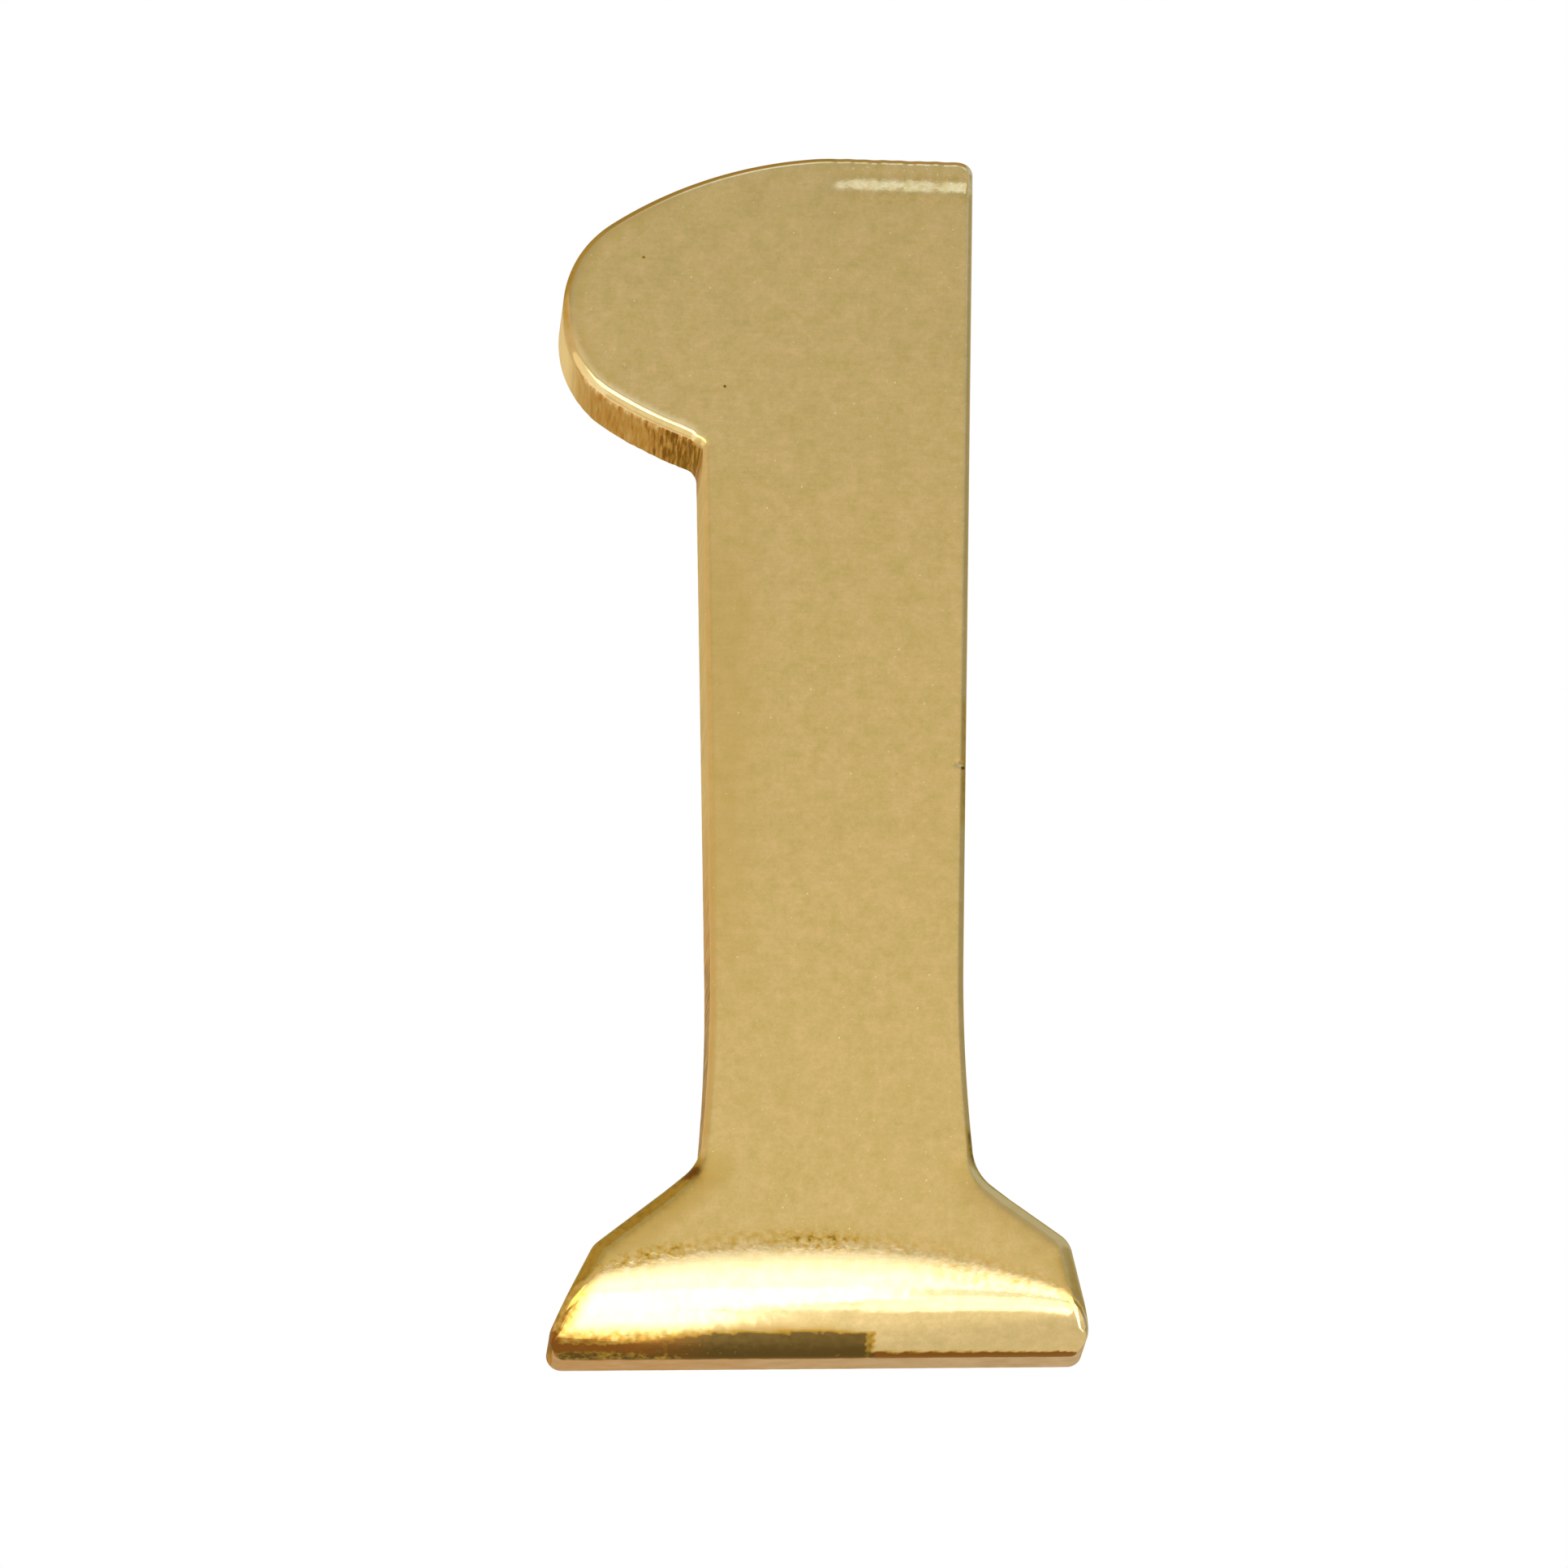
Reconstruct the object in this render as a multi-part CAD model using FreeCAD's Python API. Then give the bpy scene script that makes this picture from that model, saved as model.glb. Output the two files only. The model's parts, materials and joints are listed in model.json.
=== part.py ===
import FreeCAD, Part
import math
import os

from FreeCAD import Vector

# A cast brass door number: the numeral one, flat on the back, buffed on the face.
# Millimetres. X to the right, Z up, the back face on y = 0 and the front face towards -Y.
# The origin is on the back face, on the stem axis, midway between the two stud holes.

HEIGHT = 75.0
THICKNESS = 6.0

# Stem: tapers evenly from the top to the waist, then flares into the foot.
STEM_TOP_WIDTH = 16.7
STEM_WAIST_WIDTH = 14.9
WAIST_HEIGHT = 23.6
FLARE_RADIUS = 105.0
TOP_CORNER_RADIUS = 0.9

# Flag: a flat top, then three arcs that run into one another down to the notch beside the stem.
FLAT_TOP_WIDTH = 6.9
FLAG_REACH = 16.4
NOSE_DROP = 10.4
NOSE_RADIUS = 6.8
NOSE_TURN = 58.0
FLAG_UNDER_RADIUS = 28.0
NOTCH_RADIUS = 0.9

# Foot: sloping shoulders over two end faces that splay outwards, the whole filed a little out of square.
FOOT_LEFT_REACH = 14.0
FOOT_RIGHT_REACH = 13.8
FOOT_END_HEIGHT = 6.1
SHOULDER_SLOPE = 37.5
LEFT_SPLAY = 27.5
RIGHT_SPLAY = 10.5
FOOT_SKEW = 1.8
JUNCTION_RADIUS = 2.8
SHOULDER_RADIUS = 1.6
BASE_CORNER_RADIUS = 0.9

# Buffed roll across the front of the foot, highest on the stem axis, ending on a lip.
ROLL_HEIGHT = 6.4
ROLL_LEFT_HEIGHT = 2.7
ROLL_RIGHT_HEIGHT = 1.4
LIP_DEPTH = 2.4

# Softer roll over the flat top, which laps onto the flag and runs out there.
TOP_ROLL_HEIGHT = 3.2
TOP_ROLL_DEPTH = 0.9
TOP_ROLL_LAP = 0.5
TOP_ROLL_RUN_OUT = 2.5

# Both rolls are arcs of an ellipse that has turned through this angle at the edge.
ROLL_TURN = 70.0

# Rounding of the front edge: along the stem and flag, under the flag, round the foot, and along the lip.
EDGE_ROUND = 0.5
FLAG_UNDER_ROUND = 0.9
FOOT_ROUND = 1.1
LIP_ROUND = 0.3

# Two blind stud holes in the back, drilled for an M4 thread.
STUD_SPACING = 40.0
STUD_DRILL_RADIUS = 1.65
STUD_MOUTH_RADIUS = 2.05
STUD_DEPTH = 3.4
DRILL_POINT_ANGLE = 118.0

# Overshoot of the cutting shapes and the size below which two points count as one.
CLEAR = 2.0
SAME = 1e-5

top_z = HEIGHT / 2
base_z = -HEIGHT / 2
waist_z = base_z + WAIST_HEIGHT
taper = math.atan((STEM_TOP_WIDTH - STEM_WAIST_WIDTH) / 2 / (top_z - waist_z))


def at(x, z):
    """Point or direction in the plane of the back face."""
    return Vector(x, 0, z)


def heading(degrees):
    """Unit direction in the plane of the back face, measured from +X towards +Z."""
    return at(math.cos(math.radians(degrees)), math.sin(math.radians(degrees)))


def line(start, end):
    return Part.LineSegment(start, end).toShape()


def arc(centre, start, end):
    """The shorter arc about a centre between two points at the same distance from it."""
    bulge = (start + end) / 2 - centre
    return Part.Arc(start, centre + bulge * ((start - centre).Length / bulge.Length), end).toShape()


def leaving(point, direction, centre, radius):
    """Where a line that starts inside a circle leaves it."""
    along = (centre - point).dot(direction)
    off = (point + direction * along - centre).Length
    return point + direction * (along + math.sqrt(radius**2 - off**2))


def foot_point(x, z):
    """Point of the foot, given from the middle of its base and turned by the skew."""
    return at(0, base_z) + heading(FOOT_SKEW) * x + heading(90 + FOOT_SKEW) * z


class Side:
    """The stem edge, shoulder and foot end of one side: -1 is the left and 1 the right."""

    def __init__(self, side, reach, splay):
        self.top = at(side * STEM_TOP_WIDTH / 2, top_z)
        self.waist = at(side * STEM_WAIST_WIDTH / 2, waist_z)
        self.flare_centre = self.waist + at(side * math.cos(taper), -math.sin(taper)) * FLARE_RADIUS
        self.shoulder = foot_point(side * reach, FOOT_END_HEIGHT)
        rise = heading(90 + side * (90 - SHOULDER_SLOPE) + FOOT_SKEW)
        self.junction = leaving(self.shoulder, rise, self.flare_centre, FLARE_RADIUS)
        spread = FOOT_END_HEIGHT * math.tan(math.radians(splay))
        self.base = foot_point(side * (reach + spread), 0)

    def edges(self, start):
        """From a point on the tapered stem edge down to the base."""
        return [
            line(start, self.waist),
            arc(self.flare_centre, self.waist, self.junction),
            line(self.junction, self.shoulder),
            line(self.shoulder, self.base),
        ]


left = Side(-1, FOOT_LEFT_REACH, LEFT_SPLAY)
right = Side(1, FOOT_RIGHT_REACH, RIGHT_SPLAY)

# The nose is the leftmost arc of the flag; the arcs above and below it are tangent to it.
nose = at(NOSE_RADIUS - FLAG_REACH, top_z - NOSE_DROP)
flag_start = at(STEM_TOP_WIDTH / 2 - FLAT_TOP_WIDTH, top_z)
run = flag_start.x - nose.x
flag_top_radius = (run**2 + NOSE_DROP**2 - NOSE_RADIUS**2) / 2 / (NOSE_DROP - NOSE_RADIUS)
flag_top = flag_start - at(0, flag_top_radius)
nose_start = nose + (nose - flag_top).normalize() * NOSE_RADIUS
outward = heading(180 + NOSE_TURN)
nose_end = nose + outward * NOSE_RADIUS
flag_under = nose_end - outward * FLAG_UNDER_RADIUS
notch = leaving(left.top, (left.waist - left.top).normalize(), flag_under, FLAG_UNDER_RADIUS)

outline = [
    arc(flag_top, flag_start, nose_start),
    arc(nose, nose_start, nose_end),
    arc(flag_under, nose_end, notch),
    *left.edges(notch),
    line(left.base, right.base),
    *reversed(right.edges(right.top)),
    line(right.top, flag_start),
]


def round_corners(solid, radius, *corners):
    """Round the edges that run from back to front through the given corners of the outline."""
    def through(corner, edge):
        return all(math.hypot(v.X - corner.x, v.Z - corner.z) < SAME for v in edge.Vertexes)

    return solid.makeFillet(radius, [e for e in solid.Edges if any(through(c, e) for c in corners)])


def roll_cutter(depth, direction, stations, ruled=False):
    """What a roll takes off the front; a station is x, the z of the rolled edge and the roll height there."""
    turn = math.radians(ROLL_TURN)
    back = Vector(0, depth / (1 - math.cos(turn)), 0)
    sections = []
    for x, edge_z, height in stations:
        start = Vector(x, -THICKNESS, edge_z - direction * height)
        corner = start + Vector(0, 0, direction * height / math.sin(turn))
        quarter = Part.BezierCurve()
        quarter.setPoles([start, corner, corner + back])
        quarter.setWeight(2, math.cos(math.pi / 4))
        beyond = corner + back + Vector(0, 0, direction * CLEAR)
        front_y = -THICKNESS - CLEAR
        sides = [corner + back, beyond, Vector(x, front_y, beyond.z), Vector(x, front_y, start.z), start]
        sections.append(Part.Wire([quarter.toShape()] + [line(a, b) for a, b in zip(sides, sides[1:])]))
    return Part.makeLoft(sections, True, ruled)


def is_wall(face):
    u0, u1, v0, v1 = face.ParameterRange
    return abs(face.normalAt((u0 + u1) / 2, (v0 + v1) / 2).y) < SAME


def rounding_at(point):
    """Radius of the front edge at one of its corner points."""
    if point.x < 0 and notch.z < point.z < nose_end.z + SAME:
        return FLAG_UNDER_ROUND
    if point.z > (left if point.x < 0 else right).junction.z:
        return EDGE_ROUND
    return FOOT_ROUND if point.y < SAME - THICKNESS else LIP_ROUND


def round_front(solid):
    """Round the whole front edge in one pass, from one radius to the next."""
    rounding = []
    for number, edge in enumerate(solid.Edges, 1):
        walls = [is_wall(face) for face in solid.ancestorsOfType(edge, Part.Face)]
        if walls.count(True) == 1 and edge.CenterOfMass.y < -SAME:
            ends = [rounding_at(vertex.Point) for vertex in (edge.firstVertex(True), edge.lastVertex(True))]
            rounding.append((number, *ends))
    document = FreeCAD.newDocument()
    blank = document.addObject("Part::Feature", "Blank")
    blank.Shape = solid
    rounded = document.addObject("Part::Fillet", "Rounded")
    rounded.Base = blank
    rounded.Edges = rounding
    document.recompute()
    return rounded.Shape


def stud_hole(z):
    """Countersunk blind hole with a drill point, cut from the back."""
    mouth = STUD_MOUTH_RADIUS + CLEAR
    shank_y = STUD_DRILL_RADIUS - STUD_MOUTH_RADIUS
    tip_y = -STUD_DEPTH - STUD_DRILL_RADIUS / math.tan(math.radians(DRILL_POINT_ANGLE / 2))
    profile = [
        Vector(0, CLEAR, z),
        Vector(mouth, CLEAR, z),
        Vector(STUD_DRILL_RADIUS, shank_y, z),
        Vector(STUD_DRILL_RADIUS, -STUD_DEPTH, z),
        Vector(0, tip_y, z),
        Vector(0, CLEAR, z),
    ]
    return Part.Face(Part.makePolygon(profile)).revolve(Vector(0, 0, z), Vector(0, 1, 0), 360)


body = Part.Face(Part.Wire(outline)).extrude(Vector(0, -THICKNESS, 0))
body = round_corners(body, TOP_CORNER_RADIUS, right.top)
body = round_corners(body, NOTCH_RADIUS, notch)
body = round_corners(body, JUNCTION_RADIUS, left.junction, right.junction)
body = round_corners(body, SHOULDER_RADIUS, left.shoulder, right.shoulder)
body = round_corners(body, BASE_CORNER_RADIUS, left.base, right.base)
body = body.cut(roll_cutter(THICKNESS - LIP_DEPTH, -1, [
    (left.base.x - CLEAR, left.base.z, ROLL_LEFT_HEIGHT),
    (0, base_z, ROLL_HEIGHT),
    (right.base.x + CLEAR, right.base.z, ROLL_RIGHT_HEIGHT),
]))
body = body.cut(roll_cutter(TOP_ROLL_DEPTH, 1, [
    (flag_start.x - TOP_ROLL_LAP - TOP_ROLL_RUN_OUT, top_z + TOP_ROLL_HEIGHT, TOP_ROLL_HEIGHT),
    (flag_start.x - TOP_ROLL_LAP, top_z, TOP_ROLL_HEIGHT),
    (right.top.x + CLEAR, top_z, TOP_ROLL_HEIGHT),
], ruled=True))
body = round_front(body)
body = body.cut([stud_hole(z) for z in (-STUD_SPACING / 2, STUD_SPACING / 2)])
body = body.Solids[0]

os.makedirs("parts", exist_ok=True)
body.exportStep("parts/numeral_1.step")
print("numeral_1", body.isValid(), round(body.Volume, 2), len(body.Faces), body.BoundBox)
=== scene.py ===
import json
import math

import bpy
import numpy as np
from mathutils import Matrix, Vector, geometry, kdtree


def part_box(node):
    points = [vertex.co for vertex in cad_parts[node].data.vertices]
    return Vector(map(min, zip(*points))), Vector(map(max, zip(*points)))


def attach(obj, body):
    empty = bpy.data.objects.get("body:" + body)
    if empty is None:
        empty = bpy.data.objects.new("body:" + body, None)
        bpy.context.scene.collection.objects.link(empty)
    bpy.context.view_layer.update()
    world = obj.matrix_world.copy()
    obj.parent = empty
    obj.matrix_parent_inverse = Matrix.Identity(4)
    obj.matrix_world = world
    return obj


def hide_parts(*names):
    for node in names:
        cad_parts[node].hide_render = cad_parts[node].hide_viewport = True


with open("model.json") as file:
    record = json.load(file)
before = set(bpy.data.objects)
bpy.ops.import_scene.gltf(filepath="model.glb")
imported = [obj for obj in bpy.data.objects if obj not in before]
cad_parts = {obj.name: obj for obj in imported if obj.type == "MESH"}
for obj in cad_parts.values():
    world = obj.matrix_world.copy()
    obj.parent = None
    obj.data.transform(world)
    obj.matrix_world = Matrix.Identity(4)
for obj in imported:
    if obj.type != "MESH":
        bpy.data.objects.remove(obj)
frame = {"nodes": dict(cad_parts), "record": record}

# A solid brass door number, the numeral one, seen from below its foot.
# Its shape is worked out in millimetres and turned into metres when the mesh is made.
# X to the right, Z up, the back face on y = 0 and the front face towards -Y.

NODE = "numeral_1"
MM = 0.001
SAME = 1e-4

# Roll over the foot, an arc of an ellipse: its turn at the edge, height at three x, and depth of the lip.
ROLL_TURN = math.radians(70)
ROLL_STATIONS = (-19.17, 0.0, 16.92)
ROLL_HEIGHTS = (2.7, 6.4, 1.4)
LIP_DEPTH = 2.4

# Soft step along the flat top: depth, heights below the top, waves, where it comes in on the left, and sag.
TOP_STEP_DEPTH = 0.15
TOP_STEP_SPAN = (2.45, 1.3)
TOP_STEP_WAVES = ((0.93, 0.4, 0.18), (0.41, 2.1, 0.12))
TOP_STEP_LEFT = (-1.3, 1.2)
TOP_STEP_SAG = 0.3

# Flecks on that step: strength, and how far below the top they come in, from below and from above.
TOP_FLECKS = 0.25
TOP_FLECKS_LOW = (3.4, 2.6)
TOP_FLECKS_HIGH = (0.8, 1.4)

# Rounding of the front edge: along the stem and flag, under the flag, round the foot, along the lip.
EDGE_ROUND = 0.5
FLAG_UNDER_ROUND = 0.75
FOOT_ROUND = 1.1
LIP_ROUND = 0.3

# Rounding in the crease of the lip, and how far down the outline faces where it is reached.
CREASE_ROUND = 0.06
CREASE_FACING = 0.625

BACK_CHAMFER = 0.1

# Where the rounding changes: heights on the foot and in the notch, and headings in degrees round the nose.
FOOT_ROUND_SPAN = (-28.5, -25.5)
NOTCH_SPAN = (18.2, 19.3)
NOSE_SPAN = (126, 238)

# The wall under the flag leans: how far its front edge stands out, and the headings between which it does.
FLAG_LEAN = 0.4
LEAN_HEADINGS = (185, 225, 240, 300)

# Heights in the notch between which the lean comes in.
LEAN_HEIGHTS = (17.4, 18.6)

# Stud holes in the back: countersink, M4 thread and drill point.
MOUTH_RADIUS = 2.05
STUD_DEPTH = 3.4
DRILL_POINT_ANGLE = math.radians(118)
THREAD_PITCH = 0.7
THREAD_DEPTH = 0.35
THREAD_LEAD = 0.9
THREAD_SLOPE = 1.25
THREAD_FLAT = 0.1

# File marks on the walls: depth, extra depth under the flag, and their spacings with the share of each.
FILE_MARK_DEPTH = 0.012
FLAG_MARK_DEPTH = 0.07
FILE_MARKS = ((0.25, 0.6), (0.8, 0.4))
FILE_MARK_SEED = 11

# Share of a wall's depth, from the front, over which the marks come in.
FILE_MARK_START = 0.25

# Tarnish of the walls: under the flag, painted shade added towards the notch, low on the left of the stem,
# on the lip.
# Each is followed by the headings, x or heights between which it comes in.
UNDER_FLAG_TARNISH = 0.38
UNDER_FLAG_HEADINGS = (202, 228)
NOTCH_SHADE = 0.57
NOTCH_SHADE_X = (-12.0, -8.5)
STEM_WALL_TARNISH = 0.85
STEM_WALL_HEIGHTS = (-1.0, -20.0)
LIP_TARNISH = 0.30
LIP_TARNISH_X = (8.0, -15.0)

# A wall faces a side, or straight down, if its outward direction has this share of it.
FACING = 0.7
STRAIGHT_DOWN = 0.99

# Headings in degrees round the nose between which its wall is painted paler, a painted highlight.
PAINTED_PALE_NOSE = (165, 182, 204, 216)

# Fineness of the mesh: steps in millimetres, numbers of rows, and the angle above which an edge is sharp.
CURVE_STEPS = 24
RIM_STEP = 0.125
FACE_STEP = 0.26
BACK_STEP = 0.9
ROUND_RINGS = 9
WALL_ROWS = 10
HOLE_SIDES = 72
THREAD_ROWS = 48
SHARP_ANGLE = math.radians(32)

# Ring of the rounded edge from which it is filed, not buffed, under the flag.
FILED_RING = 6

# Points that fill a face keep this share of their step off its rim, and of the radius off a hole's middle.
RIM_CLEARANCE = 0.55
HOLE_CLEARANCE = 1.25

# A triangle of the back lies in a hole if its middle is inside this share of the mouth's radius.
HOLE_INSIDE = 0.999

# Hand buffing leaves the face slightly uneven: depth, and waves as turns per millimetre along x and z.
BUFFING_DEPTH = 0.012
BUFFING_WAVES = ((0.061, 0.024, 0.4), (-0.035, 0.071, 1.9), (0.094, -0.048, 3.1), (0.017, 0.118, 5.2))

# Soft shoulders: how far in from the edge the face falls away, how deep, and between which heights.
SHOULDER_WIDTH = 2.6
SHOULDER_DEPTH = 0.12
SHOULDER_HEIGHTS = (-34.5, -32.0, -28.0, -26.0)

# Pits in the face: x, z, radius, depth and tarnish.
PITS = (
    (-11.61, 30.36, 0.14, 0.0, 1.1),
    (-6.70, 22.08, 0.14, 0.0, 1.1),
    (7.45, -1.95, 0.16, 0.0, 2.0),
    (-14.76, 26.85, 0.10, 0.015, 0.0),
    (-15.38, 24.77, 0.09, 0.012, 0.0),
    (-12.69, 23.26, 0.10, 0.015, 0.0),
    (5.24, 32.73, 0.12, 0.012, 0.0),
    (3.53, -2.40, 0.10, 0.012, 0.0),
    (4.04, -7.61, 0.09, 0.012, 0.0),
)

# Points of a pit lie on rings, given as shares of its radius, and other points keep clear of it.
PIT_RINGS = (0.0, 0.3, 0.6, 0.85, 1.1)
PIT_SIDES = 10
PIT_CLEARANCE = 1.4

# A nick in the right edge: x, z, radius and depth.
NICK = (7.35, -1.70, 0.26, 0.08)

# Tarnish where the buffing wheel did not reach, and painted shade: 0 is bright brass, a half is amber and 1
# is dark brown.
# The dark band above the lip is a painted dark reflection.
# x along it, and the turns of the roll in degrees where it starts and ends.
# Its strength and how red it is are given at the same x.
BAND_X = (-16.0, -13.6, -11.8, -9.4, -7.0, 1.70, 1.78, 2.35, 2.45)
BAND_TURN = (55, 57.5, 57, 54, 51.5, 52, 52, 52, 52)
BAND_LAST_TURN = (63, 63.5, 65, 68, 75, 75, 75, 75, 75)
BAND_STRENGTH = (1.05, 0.95, 0.95, 1.1, 1.3, 1.3, 0.72, 0.72, 0.72)
BAND_REDNESS = (1.0, 1.0, 0.9, 0.45, 0.0, 0.0, 0.0, 0.0, 1.0)

# Over how many degrees the band starts and ends, and its hard right end: x and width.
BAND_START_FADE = 1.0
BAND_LAST_FADE = 1.2
BAND_END_X = 2.35
BAND_END_WIDTH = 0.10

# The painted shade in the crease along the lip, at the same x: the turn where it starts, its strength and
# its width.
CREASE_TURN = (61.5, 62.0, 63.5, 64.8, 64.8, 64.8, 64.8, 64.8, 64.8)
CREASE_STRENGTH = (0.88, 0.88, 0.88, 0.92, 1.0, 1.0, 1.0, 1.0, 1.0)
CREASE_WIDTH = 2.4

# Shares of the roll between which the wheel's polish and the redness come in.
POLISH_START = (0.02, 0.16)
REDNESS_START = (0.3, 0.6)

# The broken line of flecks where the roll starts: its place and width as shares of the roll.
# Its strength is given at some x along it.
START_LINE = (0.06, 0.085)
FLECK_X = (-15.0, -12.4, -11.2, -9.6, -8.2, -4.0, -3.0, 0.4, 1.4, 6.0, 14.0)
FLECK_STRENGTH = (0.3, 0.9, 1.0, 0.9, 0.55, 0.6, 1.0, 1.0, 0.5, 0.4, 0.4)

# Fainter flecks on the right of the roll: place and width as shares of it, x where they come in, strength.
FROST_LINE = (0.22, 0.14)
FROST_X = (3.0, 8.0)
FROST_STRENGTH = 0.40

# Painted shade of the shoulders and of the foot ends, left and right.
SHOULDER_SHADE = (0.60, 0.24)
FOOT_END_SHADE = (0.49, 0.35)

# How far in the painted shade of the foot ends reaches, and the heights between which it comes in.
FOOT_END_REACH = (1.7, 0.6)
FOOT_END_HEIGHTS = (-31.0, -32.5)

# Painted shade along the left of the flag: strength, how far in it reaches, and x and heights where it
# comes in.
FLAG_EDGE_SHADE = 0.28
FLAG_EDGE_SHADE_WIDTH = 1.3
FLAG_EDGE_SHADE_X = (-8.0, -12.0)
FLAG_EDGE_SHADE_HEIGHTS = (20.0, 26.0)

# Shares of the roll between which the painted shade of the edges ends on the right.
RIGHT_EDGE_END = (0.25, 0.5)

# Stretches of the front edge with painted shade: side, heights and strength.
EDGE_SHADES = (
    (-1, -25.0, -6.0, 0.20),
    (1, -28.0, -25.0, 0.75),
    (1, -24.0, 35.0, 0.15),
    (1, -5.0, 2.0, 0.50),
    (-1, 26.0, 37.4, 0.42),
)
EDGE_SHADE_REACH = (0.45, 0.15)
EDGE_SHADE_FADE = 1.2

# Brown spots where the left of the stem meets the foot and the flag, and on the left corner of the foot;
# the one in the notch under the flag is painted shade.
# Each holds x, z, radius and strength.
JUNCTION_SPOT = (-8.6, -27.5, 1.05, 0.95)
NOTCH_SHADE_SPOT = (-8.3, 18.6, 2.0, 0.95)
CORNER_SPOT = (-16.5, -37.3, 0.7, 1.1)

# A warmer patch on the left of the stem: its tarnish, its heights and how far right it reaches.
WARM_PATCH = (0.13, (-22.0, -8.0, 8.0, 18.0), (-3.5, -6.5))

# Camera that fits the photograph, which is a square of this many pixels.
PHOTO_SIDE = 1932
FOCAL_PIXELS = 12405
CAMERA_PITCH = math.radians(21)
CAMERA_YAW = math.radians(4.2)
CAMERA_DISTANCE = 600
CAMERA_TARGET = Vector((-2.708, 0, -0.999))

# Points of the numeral that lamps and cards are placed from.
FOOT_CENTRE = Vector((0, -6, -34))
TOP_CENTRE = Vector((5, -6, 36))
FLAG_NOSE = Vector((-15, -6, 24))

# Floor: how far it lies below the foot, its size, grey and roughness, and the light of the world on it.
FLOOR_DROP = 262
FLOOR_SIZE = 6000
FLOOR_GREY = 0.86
FLOOR_ROUGHNESS = 0.9
FLOOR_LIGHT = 0.6

# Lamps: the azimuths and elevations that they fill, their distance and radiance.
# A square metre of lamp takes this many watts for a radiance of one.
KEY_LAMP = ((-40, 40), (-27, 2), 380, (3, 3, 3))
TOP_LAMP = ((-10, 22), (38, 56), 500, (0.56, 0.86, 1.95))
LAMP_WATTS = 4.0

# Plain cards: the axis that each lies across, its place on it, its spans along the other two, its radiance.
CARDS = (
    ("card_flag", "y", -386, (-370, -100), (-200, -5), (3.6, 3.6, 3.6)),
    ("card_low", "y", -705, (-600, 600), (110, 240), (1.14, 1.14, 1.14)),
    ("card_high", "y", -700, (-600, 600), (325, 1200), (0.76, 0.80, 0.92)),
    ("card_back_high", "y", 500, (-900, 900), (30, 900), (0.61, 0.60, 0.39)),
    ("card_back_left", "y", 495, (-900, -70), (70, 260), (0.96, 0.94, 0.86)),
    ("card_back_low", "y", 500, (-900, 900), (-280, 30), (0.85, 0.83, 0.80)),
    ("card_left", "x", -400, (-480, 500), (20, 262), (1.06, 0.97, 0.96)),
    ("card_left_high", "x", -400, (-480, 500), (262, 900), (0.75, 0.66, 0.42)),
    ("card_right", "x", 400, (-480, 500), (20, 230), (0.60, 0.64, 0.74)),
    ("card_right_high", "x", 400, (-480, 500), (230, 900), (0.85, 1.05, 1.70)),
    ("card_top", "z", 900, (-600, 600), (-720, 500), (0.62, 0.52, 0.34)),
)

# Cards that fade: as above, then the axis along which they fade, over what span, and their least strength.
FADING_CARDS = (
    ("card_key", "y", -386, (-100, 205), (-228, 22), (3.3, 3.3, 3.3), "Z", (-150, 22), 1),
    ("card_under", "z", -288, (-450, 450), (-450, 450), (1.34, 1.24, 0.99), "Y", (-130, -50), 1.06),
)

# Cards placed by their corners, as azimuths and elevations seen from a point of the numeral, and radiance.
# The level ones lie this far below the foot.
LEVEL_DROP = 250
FRONT_RIGHT_CORNERS = (
    (38, -22), (42, -55), (70, -70), (105, -70), (112, -79), (86, -81), (58, -80),
    (27, -69), (16, -60), (11, -50), (7, -42), (3, -38), (2, -22),
)
FRONT_LEFT_CORNERS = (
    (2, -35), (3, -38), (8, -46), (6, -52), (1, -55),
    (-5, -59), (-14, -70), (-22, -74), (-24, -60), (-20, -35),
)
LEVEL_CARDS = (
    ("card_front_right", FRONT_RIGHT_CORNERS, (4.2, 4.2, 4.2)),
    ("card_gap", ((2, -22), (2, -35), (-20, -35), (-20, -22)), (1.8, 1.8, 1.8)),
    ("card_front_left", FRONT_LEFT_CORNERS, (2.7, 2.7, 2.7)),
)
NOSE_CORNERS = ((-42, -45), (-130, -45), (-130, 2), (-42, 2))
NOSE_DISTANCE = 600
NOSE_RADIANCE = (1.5, 1.5, 1.5)

# A small card below the foot, mirrored by the left end of the roll: its height, corners and radiance.
NEAR_Z = -100
NEAR_CORNERS = (
    (-12, -60), (-12, 0), (-4, 0), (-3, -5), (-2.2, -10),
    (-0.4, -20), (1.7, -30), (3.5, -41), (4.6, -53), (4.6, -60),
)
NEAR_RADIANCE = (3.8, 3.8, 3.8)

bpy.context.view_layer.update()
low_corner, high_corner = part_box(NODE)
thickness = -low_corner.y / MM
top_z = high_corner.z / MM

stud_mount = next(mount for mount in frame["record"]["mounts"] if mount["name"] == "stud_holes")
stud_spacing = stud_mount["dims"]["spacing_y_mm"]
stud_heights = (-stud_spacing / 2, stud_spacing / 2)
drill_radius = stud_mount["dims"]["hole_r_mm"]


def back_rim(node):
    """Corners of the CAD outline on the back face in order, as pairs of x and z."""
    mesh = node.data
    points = np.array([vertex.co for vertex in mesh.vertices]) / MM
    names = [tuple(point) for point in np.round(points / SAME).astype(int)]
    on_back = np.abs(points[:, 1]) < SAME
    edges = set()
    for polygon in mesh.polygons:
        if on_back[polygon.vertices].all():
            corners = [names[number] for number in polygon.vertices]
            edges.update(zip(corners, corners[1:] + corners[:1]))
    ahead = {a: b for a, b in edges if (b, a) not in edges}
    loop = [min(ahead)]
    while ahead[loop[-1]] != loop[0]:
        loop.append(ahead[loop[-1]])
    return np.array(loop)[::-1, [0, 2]] * SAME


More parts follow.
